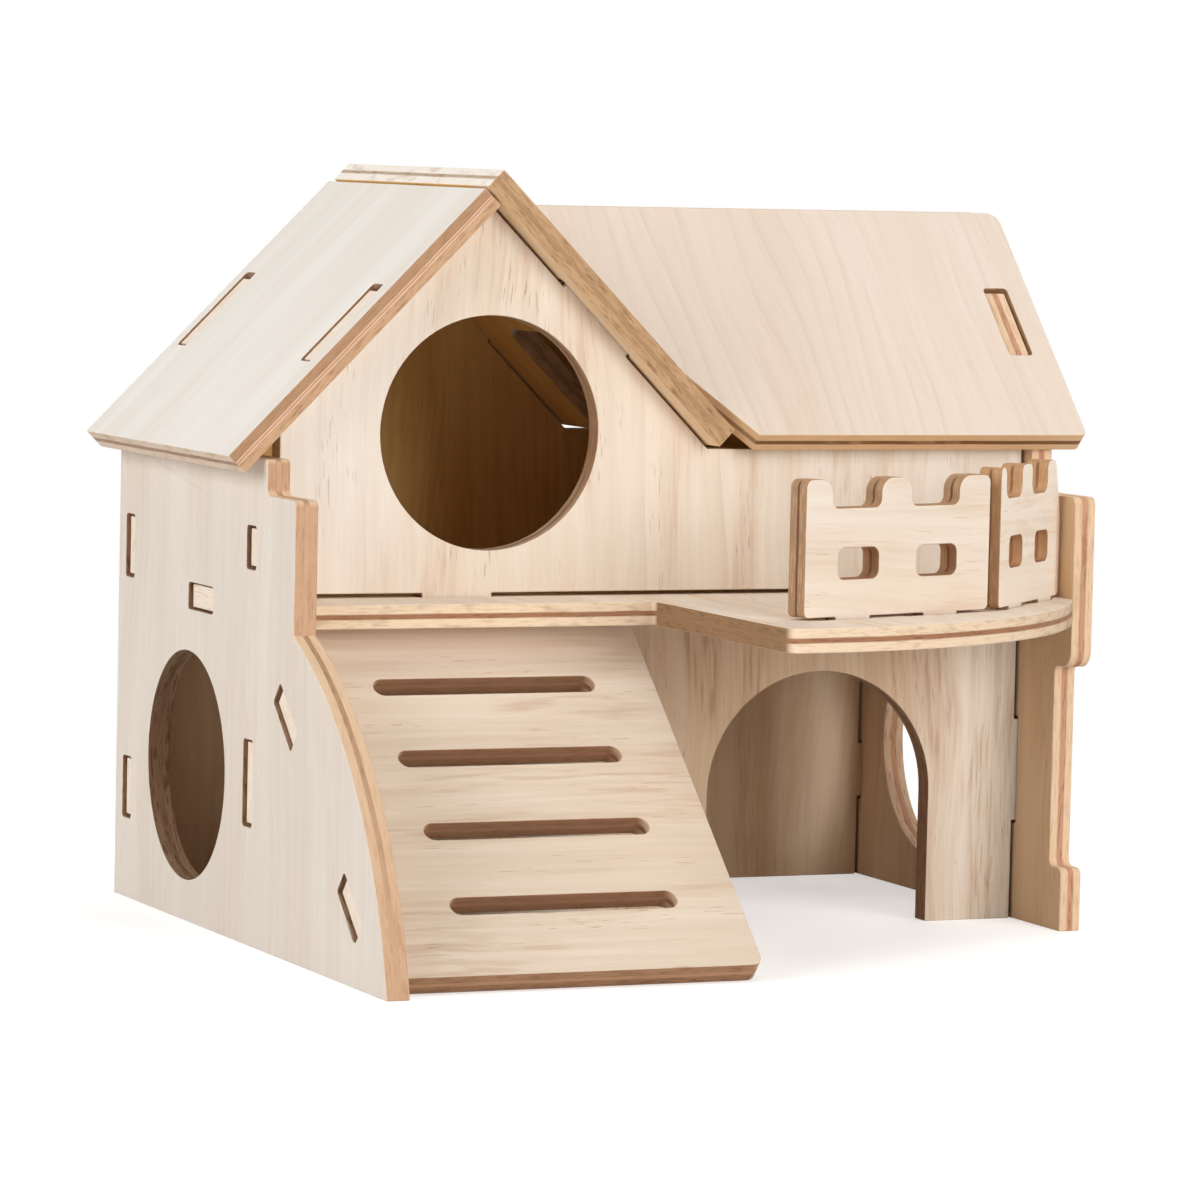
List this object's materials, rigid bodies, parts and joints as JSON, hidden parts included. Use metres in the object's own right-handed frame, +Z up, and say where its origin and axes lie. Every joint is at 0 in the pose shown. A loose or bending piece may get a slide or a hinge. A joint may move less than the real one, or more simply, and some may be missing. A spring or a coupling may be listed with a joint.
{
  "type": "hamster house",
  "caption": "Plywood hamster house with a gable and a cross roof, round window, arched door, slotted ramp and a rounded balcony with notched railings.",
  "frame": {"origin": "floor level under the front wall, in the middle of its thickness and midway between the side walls", "axes": "+Z up, +X to the right as seen from the front, +Y from the front to the back"},
  "size_m": [0.1583, 0.1394, 0.13],
  "materials": {
    "side_ply": "sanded bare plywood",
    "front_ply": "sanded bare plywood",
    "deck_ply": "sanded bare plywood",
    "roof_ply": "sanded bare plywood",
    "rail_ply": "sanded bare plywood"
  },
  "bodies": {
    "root": {"left_wall": "side_ply", "right_wall": "side_ply", "front_wall_lower": "front_ply", "front_wall_upper": "front_ply", "back_wall": "front_ply", "deck": "deck_ply", "ramp": "deck_ply", "gable_roof_left": "roof_ply", "gable_roof_right": "roof_ply", "main_roof_front": "roof_ply", "main_roof_back": "roof_ply", "railing_front": "rail_ply", "railing_side": "rail_ply"}
  },
  "joints": []
}
